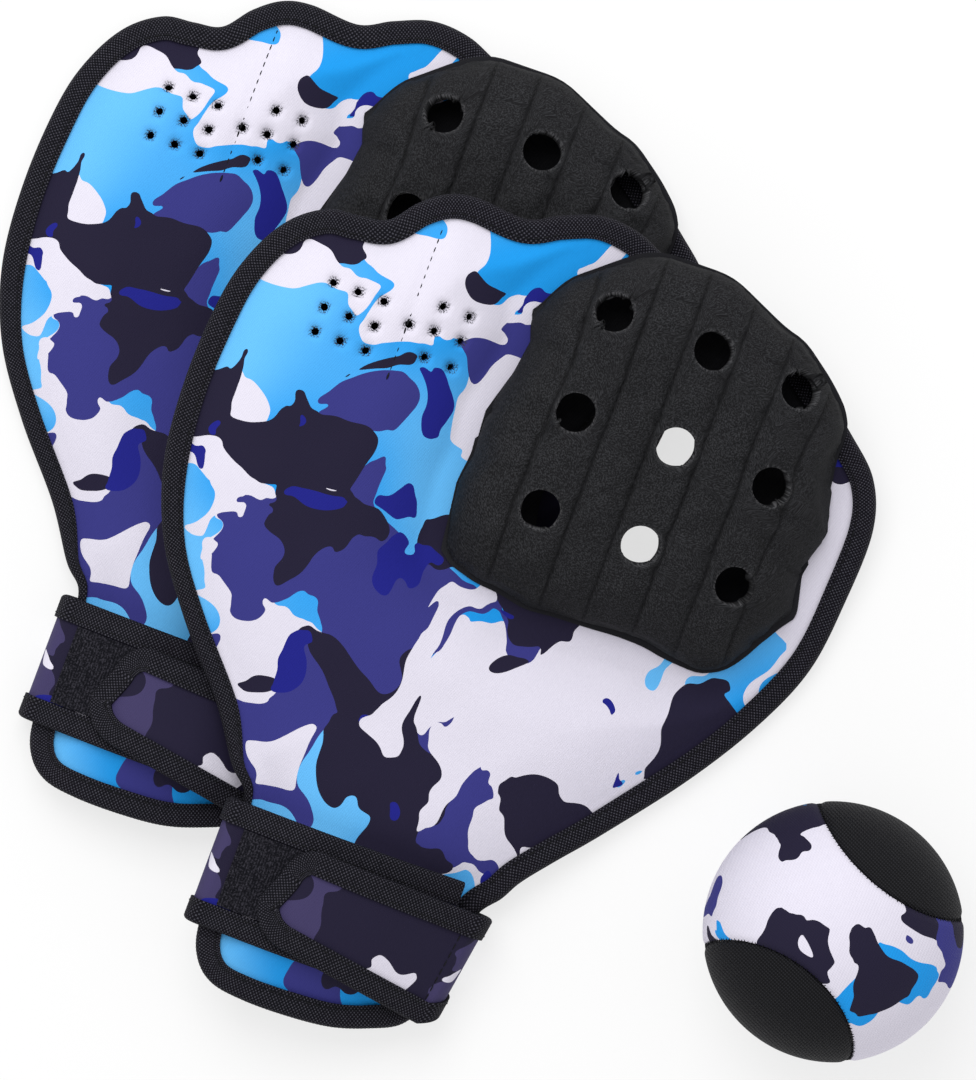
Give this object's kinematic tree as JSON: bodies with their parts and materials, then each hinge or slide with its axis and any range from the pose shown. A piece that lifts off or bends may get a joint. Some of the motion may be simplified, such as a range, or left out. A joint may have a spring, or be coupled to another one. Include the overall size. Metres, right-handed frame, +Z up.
{
  "type": "water ball and mitts set",
  "caption": "Two padded catch mitts with channelled, perforated pockets and wrist straps, one leaning on the other, beside a covered foam water ball.",
  "frame": {"origin": "middle of the whole set's box in plan, on the floor that the set lies on", "axes": "+Z up from the floor, +Y towards the fingertips of the mitts, +X towards the ball's side"},
  "size_m": [0.3336, 0.368, 0.0894],
  "materials": {
    "printed_neoprene": "printed jersey on neoprene foam",
    "black_neoprene": "matte jersey on neoprene foam",
    "pocket_neoprene": "sewn, channelled neoprene",
    "edge_tape": "ribbed binding tape",
    "loop_fleece": "brushed loop pile",
    "hook_strip": "moulded hooks",
    "printed_knit": "printed knit",
    "black_knit": "black knit with a rib",
    "foam_core": "soft foam"
  },
  "bodies": {
    "root": {"rear_mitt_palm_panel": "black_neoprene", "rear_mitt_back_panel": "printed_neoprene", "rear_mitt_pocket": "pocket_neoprene", "rear_mitt_finger_binding": "edge_tape", "rear_mitt_thumb_binding": "edge_tape", "rear_mitt_back_hem_binding": "edge_tape", "rear_mitt_palm_hem_binding": "edge_tape", "rear_mitt_base_strap": "printed_neoprene", "rear_mitt_base_upper_tape": "edge_tape", "rear_mitt_base_lower_tape": "edge_tape", "rear_mitt_loop_patch": "loop_fleece", "rear_mitt_tab_strap": "printed_neoprene", "rear_mitt_tab_tape": "edge_tape", "rear_mitt_hook_patch": "hook_strip", "front_mitt_palm_panel": "black_neoprene", "front_mitt_back_panel": "printed_neoprene", "front_mitt_pocket": "pocket_neoprene", "front_mitt_finger_binding": "edge_tape", "front_mitt_thumb_binding": "edge_tape", "front_mitt_back_hem_binding": "edge_tape", "front_mitt_palm_hem_binding": "edge_tape", "front_mitt_base_strap": "printed_neoprene", "front_mitt_base_upper_tape": "edge_tape", "front_mitt_base_lower_tape": "edge_tape", "front_mitt_loop_patch": "loop_fleece", "front_mitt_tab_strap": "printed_neoprene", "front_mitt_tab_tape": "edge_tape", "front_mitt_hook_patch": "hook_strip", "ball_printed_panel": "printed_knit", "ball_black_panel": "black_knit", "ball_core": "foam_core"}
  },
  "joints": []
}
